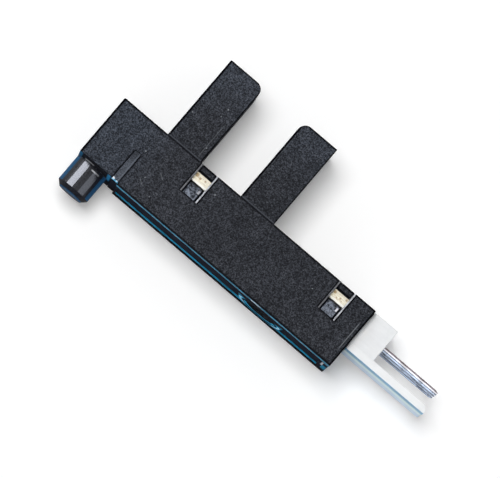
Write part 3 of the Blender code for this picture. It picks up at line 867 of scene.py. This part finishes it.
def housing_nylon(settings):
    """White nylon, a little clouded, with faint flow lines and a painted blue sheen and shade on its
    underside.
    """
    finish = Finish("white_nylon")
    depth = finish.depth
    clouds = finish.noise(0.8, 3.0, 0.55)
    flow = finish.noise(1.0, 3.0, 0.6, finish.stretched((0.25, 2.4, 1.6)))
    shade = finish.product(
        finish.ramp(clouds, 0.3, 0.7, 0.96, 1.02),
        finish.ramp(flow, 0.3, 0.7, 0.97, 1.01),
        finish.ramp(finish.down, 3.6, 3.8, 1.0, 1.07),
    )
    marks = finish.ramp(finish.noise(3.5, 2.0, 0.6), 0.70, 0.78, 0.0, 0.25)
    # Painted blue sheen and shade on the underside, in bands by height
    painted_underside = finish.mix(finish.ramp(depth, 5.0, 6.3), (0.74, 0.93, 1.0), (0.04, 0.32, 0.58))
    painted_underside = finish.mix(finish.ramp(depth, 4.6, 3.4), painted_underside, (0.62, 0.79, 1.0))
    underside = finish.product(
        finish.ramp(finish.axes["Y"], HOUSING_FOOT + 0.12, HOUSING_FOOT + 0.04),
        finish.ramp(finish.facing("Y"), -0.3, -0.7),
    )
    colour = finish.layered(
        finish.tinted(settings.housing_colour, shade), (marks, (0.62, 0.60, 0.55)), (underside, painted_underside)
    )
    grain = finish.noise(9.0, 2.0, 0.6)
    finish.surface(
        base_color=colour,
        roughness=finish.ramp(grain, 0.3, 0.7, 0.36, 0.5),
        subsurface_weight=0.35,
        subsurface_scale=0.6 * MM,
        subsurface_radius=(1.0, 0.95, 0.9),
    )
    finish.relief(grain, 0.006, rounding=0.05)
    return finish


def board_laminate(settings):
    """Cream glass-epoxy with layered fibres, brown blemishes and pale sawn edges."""
    finish = Finish("board_laminate")
    layers = finish.noise(1.0, 3.0, 0.7, finish.stretched((1.1, 9.0, 1.1)))
    fibres = finish.noise(1.0, 2.0, 0.7, finish.stretched((3.5, 3.0, 3.5)))
    blots = finish.noise(1.0, 3.0, 0.75, finish.stretched((2.6, 4.4, 2.6)))
    shade = finish.product(
        finish.ramp(layers, 0.3, 0.7, 0.82, 1.12), finish.ramp(fibres, 0.3, 0.7, 0.92, 1.06)
    )
    brown = finish.most(
        finish.ramp(blots, 0.56, 0.68, 0.0, 0.85), finish.product(finish.spots(BOARD_SPOTS), 0.85)
    )
    sawn_foot = finish.ramp(finish.down, 1.55, 1.62, 0.0, 0.7)
    colour = finish.layered(
        finish.tinted(settings.laminate_colour, shade),
        (brown, settings.blemish_colour),
        (sawn_foot, (0.95, 0.95, 0.9)),
    )
    finish.surface(base_color=colour, roughness=finish.ramp(fibres, 0.3, 0.7, 0.5, 0.75))
    finish.relief(finish.maths("ADD", layers, fibres), 0.03, rounding=0.03)
    return finish


def tin(settings):
    """Bright tin over drawn wire, with painted reflections in bands along the pins, dark along their
    upper edge.
    """
    finish = Finish("tinned_wire")
    fine = settings.draw_lines
    lines = finish.noise(1.0, 2.0, 0.6, finish.stretched((0.5, fine, fine)))
    stains = finish.noise(1.3, 3.0, 0.6)
    shade = finish.product(
        finish.ramp(lines, 0.3, 0.7, 0.85, 1.1), finish.ramp(stains, 0.3, 0.7, 0.88, 1.08)
    )
    pin_low, pin_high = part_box("connector_pin_1")
    below_top = finish.maths("SUBTRACT", pin_high.y / MM, finish.axes["Y"])
    on_pin = finish.ramp(finish.axes["X"], pin_low.x / MM - 0.1, pin_low.x / MM)
    upward = finish.ramp(finish.facing("Z"), 0.3, 0.6, 0.0, 0.9)
    # Painted reflections along the pins: a bright band, a blue-grey band below, a dark seam and a dark
    # upper edge
    reflection_bands = (
        ((0.16, 0.29), 0.6, (0.70, 0.66, 0.64)),
        ((0.40, 1.0), 0.75, (0.30, 0.38, 0.49)),
        ((0.30, 0.39), 0.9, (0.03, 0.04, 0.06)),
        ((-0.1, 0.16), upward, (0.06, 0.03, 0.025)),
    )
    colour = finish.tinted(settings.tin_colour, shade)
    for (top, foot), amount, tint in reflection_bands:
        band = finish.product(finish.band(below_top, top, foot, 0.02), on_pin, amount)
        colour = finish.mix(band, colour, tint)
    finish.surface(
        base_color=colour, metallic=1.0, roughness=finish.ramp(stains, 0.3, 0.7, 0.22, 0.4)
    )
    finish.relief(lines, 0.003, rounding=0.03)
    return finish


def moulded_resin(name, tint, clearness, haze):
    """Glossy moulding resin, clear or dark, with faint clouds."""
    finish = Finish(name)
    clouds = finish.noise(0.9, 3.0, 0.55)
    finish.surface(
        base_color=finish.tinted(tint, finish.ramp(clouds, 0.3, 0.7, 1.0 - haze, 1.0)),
        roughness=finish.ramp(clouds, 0.3, 0.7, 0.05, 0.14),
        transmission_weight=clearness,
        ior=RESIN_IOR,
    )
    finish.relief(finish.noise(2.2, 2.0), 0.004, rounding=0.05)
    return finish


def chip_ceramic(name, node, tint, tin_tint):
    """A glazed or bare ceramic body between tinned end caps, told apart by place."""
    low, high = [corner.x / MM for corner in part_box(node)]
    finish = Finish(name)
    from_middle = finish.unsigned(finish.maths("SUBTRACT", finish.axes["X"], (low + high) / 2))
    cap_start = (high - low) / 2 - CHIP_CAP_LENGTH
    on_cap = finish.ramp(from_middle, cap_start - 0.01, cap_start + 0.01)
    speckle = finish.ramp(finish.noise(7.0, 3.0, 0.7), 0.3, 0.7, 0.8, 1.2)
    body = finish.tinted(tint, speckle)
    cap = finish.tinted(tin_tint, finish.ramp(finish.noise(4.0, 2.0), 0.3, 0.7, 0.85, 1.05))
    finish.surface(
        base_color=finish.mix(on_cap, body, cap),
        metallic=on_cap,
        roughness=finish.ramp(speckle, 0.8, 1.2, 0.25, 0.45),
    )
    finish.relief(speckle, 0.01, rounding=0.04)
    return finish


# Stage


def aimed(name, data, place, target):
    """An object whose view or light runs from its place to the target."""
    made = bpy.data.objects.new(name, data)
    bpy.context.scene.collection.objects.link(made)
    made.location = place
    made.rotation_euler = (Vector(target) - Vector(place)).to_track_quat("-Z", "Y").to_euler()
    return made


def switch_camera(settings):
    """A long lens over the upper side face, tilted towards the base and rolled."""
    sensor = 36.0
    data = bpy.data.cameras.new("picture_camera")
    data.sensor_fit = "HORIZONTAL"
    data.sensor_width = sensor
    data.lens = sensor * settings.camera_distance / settings.field_width
    data.clip_start = 0.05
    data.clip_end = 20.0
    tilt, roll = settings.camera_tilt, settings.camera_roll
    back = Vector((0.0, -math.sin(tilt), math.cos(tilt)))
    level = Vector((1.0, 0.0, 0.0))
    upright = back.cross(level)
    right = level * math.cos(roll) + upright * math.sin(roll)
    up = back.cross(right)
    camera = bpy.data.objects.new("picture_camera", data)
    bpy.context.scene.collection.objects.link(camera)
    turn = Matrix((right, up, back)).transposed().to_4x4()
    place = Vector(settings.view_centre) + back * settings.camera_distance
    camera.matrix_world = Matrix.Translation(place) @ turn
    bpy.context.scene.camera = camera


def soft_lamp(name, settings, heading, size, radiance, colour=(1.0, 1.0, 1.0), reflected=True):
    """A rectangular lamp that faces the view centre, given by the radiance of its own face.

    A reflected lamp shows in shiny faces alone, and any other lights the matt ones alone.
    """
    data = bpy.data.lights.new(name, "AREA")
    data.shape = "RECTANGLE"
    data.size, data.size_y = size
    data.energy = radiance * math.pi * size[0] * size[1]
    data.color = colour
    centre = Vector(settings.view_centre)
    place = centre + Vector(heading).normalized() * settings.lamp_distance
    lamp = aimed(name, data, place, centre)
    lamp.visible_diffuse = not reflected
    lamp.visible_glossy = reflected
    return lamp


def seen_directly(tree):
    """One for what the camera, a reflection or a clear resin looks at."""
    path = tree.nodes.new("ShaderNodeLightPath")
    seen = path.outputs["Is Camera Ray"]
    for name in ("Is Glossy Ray", "Is Transmission Ray"):
        either = tree.nodes.new("ShaderNodeMath")
        either.operation = "MAXIMUM"
        tree.links.new(seen, either.inputs[0])
        tree.links.new(path.outputs[name], either.inputs[1])
        seen = either.outputs[0]
    return seen


def floor_finish(settings):
    """A matt pale floor that is lifted to white for what looks at it and keeps its shadows."""
    made = bpy.data.materials.new("pale_floor")
    made.use_nodes = True
    tree = made.node_tree
    tree.nodes.remove(tree.nodes["Principled BSDF"])
    matt = tree.nodes.new("ShaderNodeBsdfDiffuse")
    matt.inputs["Color"].default_value = (*settings.floor_colour, 1.0)
    lift = tree.nodes.new("ShaderNodeEmission")
    amount = tree.nodes.new("ShaderNodeMath")
    amount.operation = "MULTIPLY"
    amount.inputs[1].default_value = settings.floor_lift
    tree.links.new(seen_directly(tree), amount.inputs[0])
    tree.links.new(amount.outputs[0], lift.inputs["Strength"])
    both = tree.nodes.new("ShaderNodeAddShader")
    tree.links.new(matt.outputs[0], both.inputs[0])
    tree.links.new(lift.outputs[0], both.inputs[1])
    tree.links.new(both.outputs[0], tree.nodes["Material Output"].inputs["Surface"])
    return made


def studio_sky(settings):
    """An even grey sky that looks white."""
    world = bpy.data.worlds.new("studio_sky")
    bpy.context.scene.world = world
    world.use_nodes = True
    tree = world.node_tree
    sky = tree.nodes["Background"]
    sky.inputs["Color"].default_value = (1.0, 1.0, 1.0, 1.0)
    level = tree.nodes.new("ShaderNodeMix")
    tree.links.new(seen_directly(tree), level.inputs["Factor"])
    level.inputs["A"].default_value = settings.sky_strength
    level.inputs["B"].default_value = 1.0
    tree.links.new(level.outputs["Result"], sky.inputs["Strength"])


def floor_sheet():
    """A wide thin sheet whose top is the surface that the switch lies on."""
    half = 2.0
    shape = bmesh.new()
    bmesh.ops.create_grid(shape, x_segments=1, y_segments=1, size=half)
    mesh = bpy.data.meshes.new("floor")
    shape.to_mesh(mesh)
    shape.free()
    floor = bpy.data.objects.new("floor", mesh)
    bpy.context.scene.collection.objects.link(floor)
    return floor


# Operators


class SWITCH_OT_stage(bpy.types.Operator):
    """Sets up the camera, the floor, the sky and the lamps"""

    bl_idname = "switch.stage"
    bl_label = "Stage"

    def execute(self, context):
        settings = context.scene.switch_stage
        context.scene.view_settings.view_transform = "Standard"
        switch_camera(settings)
        studio_sky(settings)
        floor = floor_sheet()
        floor.data.materials.append(floor_finish(settings))
        soft_lamp(
            "overhead_lamp",
            settings,
            heading=(-0.2, 0.05, 1.0),
            size=(0.2, 0.2),
            radiance=15.0,
            reflected=False,
        )
        soft_lamp(
            "left_window",
            settings,
            heading=(-0.94, -0.05, 1.0),
            size=(0.64, 0.4),
            radiance=23.5,
            colour=(0.86, 0.89, 1.0),
        )
        soft_lamp(
            "right_window",
            settings,
            heading=(1.05, -0.05, 1.0),
            size=(0.46, 0.4),
            radiance=4.2,
            colour=(0.8, 0.86, 1.0),
        )
        return {"FINISHED"}


class SWITCH_OT_case_finish(bpy.types.Operator):
    """Gives the moulded case its textured black plastic"""

    bl_idname = "switch.case_finish"
    bl_label = "Case Finish"

    def execute(self, context):
        dress(["case"], case_plastic(context.scene.switch_plastic))
        return {"FINISHED"}


class SWITCH_OT_cover_finish(bpy.types.Operator):
    """Gives the base cover its satin black plastic"""

    bl_idname = "switch.cover_finish"
    bl_label = "Base Cover Finish"

    def execute(self, context):
        dress(["base_cover"], cover_plastic(context.scene.switch_plastic))
        return {"FINISHED"}


class SWITCH_OT_board_finish(bpy.types.Operator):
    """Gives the circuit board its laminate"""

    bl_idname = "switch.board_finish"
    bl_label = "Circuit Board Finish"

    def execute(self, context):
        dress(["circuit_board"], board_laminate(context.scene.switch_board))
        return {"FINISHED"}


class SWITCH_OT_light_path_finish(bpy.types.Operator):
    """Gives the emitter and the detector their resins"""

    bl_idname = "switch.light_path_finish"
    bl_label = "Emitter and Detector Finish"

    def execute(self, context):
        settings = context.scene.switch_light_path
        dress(["emitter_body"], moulded_resin("clear_resin", settings.emitter_colour, 0.85, 0.1))
        dress(["detector_body"], moulded_resin("dark_resin", settings.detector_colour, 0.0, 0.3))
        return {"FINISHED"}


class SWITCH_OT_chip_finish(bpy.types.Operator):
    """Gives the chip parts their ceramic and tinned caps"""

    bl_idname = "switch.chip_finish"
    bl_label = "Chip Parts Finish"

    def execute(self, context):
        board = context.scene.switch_board
        cap = context.scene.switch_metal.tin_colour
        chips = {
            "emitter_resistor": board.ceramic_colour,
            "output_resistor": board.ceramic_colour,
            "supply_capacitor": board.capacitor_colour,
        }
        for node, tint in chips.items():
            dress([node], chip_ceramic(node + "_ceramic", node, tint, cap))
        return {"FINISHED"}


class SWITCH_OT_connector_finish(bpy.types.Operator):
    """Gives the connector's housing its white nylon"""

    bl_idname = "switch.connector_finish"
    bl_label = "Connector Housing Finish"

    def execute(self, context):
        dress(["connector_housing"], housing_nylon(context.scene.switch_plastic))
        return {"FINISHED"}


class SWITCH_OT_metal_finish(bpy.types.Operator):
    """Gives the connector's pins and the packages' leads their tin"""

    bl_idname = "switch.metal_finish"
    bl_label = "Pin and Lead Finish"

    def execute(self, context):
        metal = [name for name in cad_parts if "_pin_" in name or "_lead_" in name]
        dress(metal, tin(context.scene.switch_metal))
        return {"FINISHED"}


OPERATORS = (
    SWITCH_OT_stage,
    SWITCH_OT_case_finish,
    SWITCH_OT_cover_finish,
    SWITCH_OT_board_finish,
    SWITCH_OT_light_path_finish,
    SWITCH_OT_chip_finish,
    SWITCH_OT_connector_finish,
    SWITCH_OT_metal_finish,
)


class SWITCH_PT_sidebar(bpy.types.Panel):
    """Lists the settings and the operators"""

    bl_idname = "SWITCH_PT_sidebar"
    bl_label = "Optical Switch"
    bl_space_type = "VIEW_3D"
    bl_region_type = "UI"
    bl_category = "Optical Switch"

    def draw(self, context):
        layout = self.layout
        for name, group in SETTINGS.items():
            box = layout.box()
            box.label(text=group.__doc__)
            for setting in group.__annotations__:
                box.prop(getattr(context.scene, name), setting)
        for operator in OPERATORS:
            layout.operator(operator.bl_idname)


CLASSES = (*SETTINGS.values(), *OPERATORS, SWITCH_PT_sidebar)


def register():
    for item in CLASSES:
        bpy.utils.register_class(item)
    for name, group in SETTINGS.items():
        setattr(bpy.types.Scene, name, PointerProperty(type=group))


def unregister():
    for name in SETTINGS:
        delattr(bpy.types.Scene, name)
    for item in reversed(CLASSES):
        bpy.utils.unregister_class(item)


def main():
    register()
    for operator in OPERATORS:
        group, action = operator.bl_idname.split(".")
        getattr(getattr(bpy.ops, group), action)()


if __name__ == "__main__":
    main()
